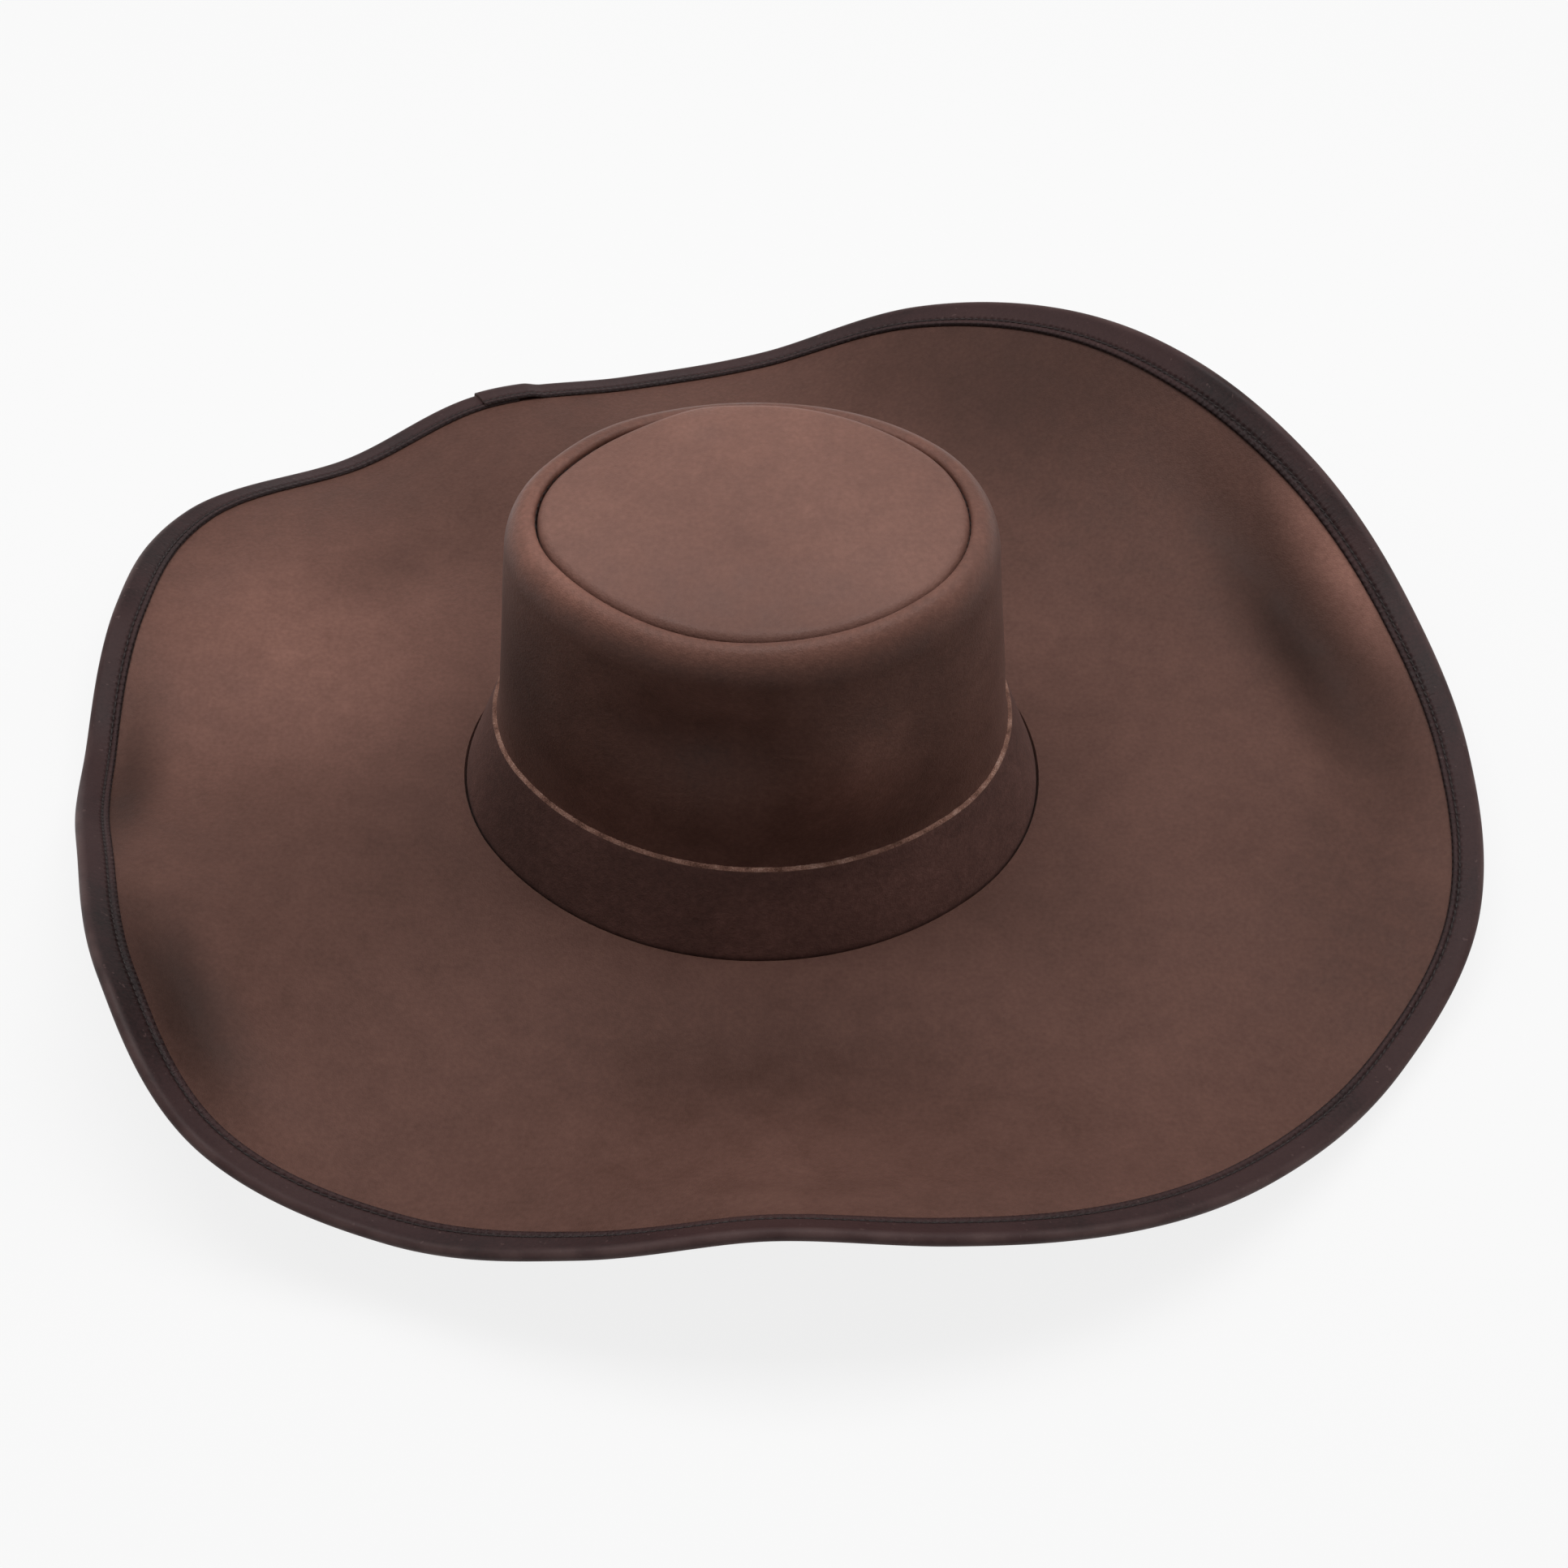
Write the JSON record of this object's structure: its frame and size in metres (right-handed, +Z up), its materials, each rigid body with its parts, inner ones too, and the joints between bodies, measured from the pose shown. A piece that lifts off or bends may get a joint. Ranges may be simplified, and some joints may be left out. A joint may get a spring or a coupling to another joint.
{
  "type": "pirate hat",
  "caption": "Wide-brimmed leather pirate hat with an oval crown, a sunk top panel, a flared band and a large waved brim bound round its edge.",
  "frame": {"origin": "middle of the head opening, level with the top face of the brim where it meets the band", "axes": "+X along the head oval towards its blunt end, +Z up through the crown"},
  "size_m": [0.5684, 0.518, 0.1678],
  "materials": {
    "brim_leather": "waxed, soft satin",
    "binding_leather": "dull satin",
    "crown_leather": "waxed, soft satin",
    "tip_leather": "waxed, soft satin",
    "band_leather": "waxed, soft satin",
    "sweatband_leather": "smooth, dry",
    "tape_leather": "dry suede",
    "thread": "waxed thread"
  },
  "bodies": {
    "root": {"brim": "brim_leather", "brim_binding": "binding_leather", "crown_side": "crown_leather", "crown_tip": "tip_leather", "crown_band": "band_leather", "sweatband": "sweatband_leather", "side_seam_tape": "tape_leather"}
  },
  "joints": []
}
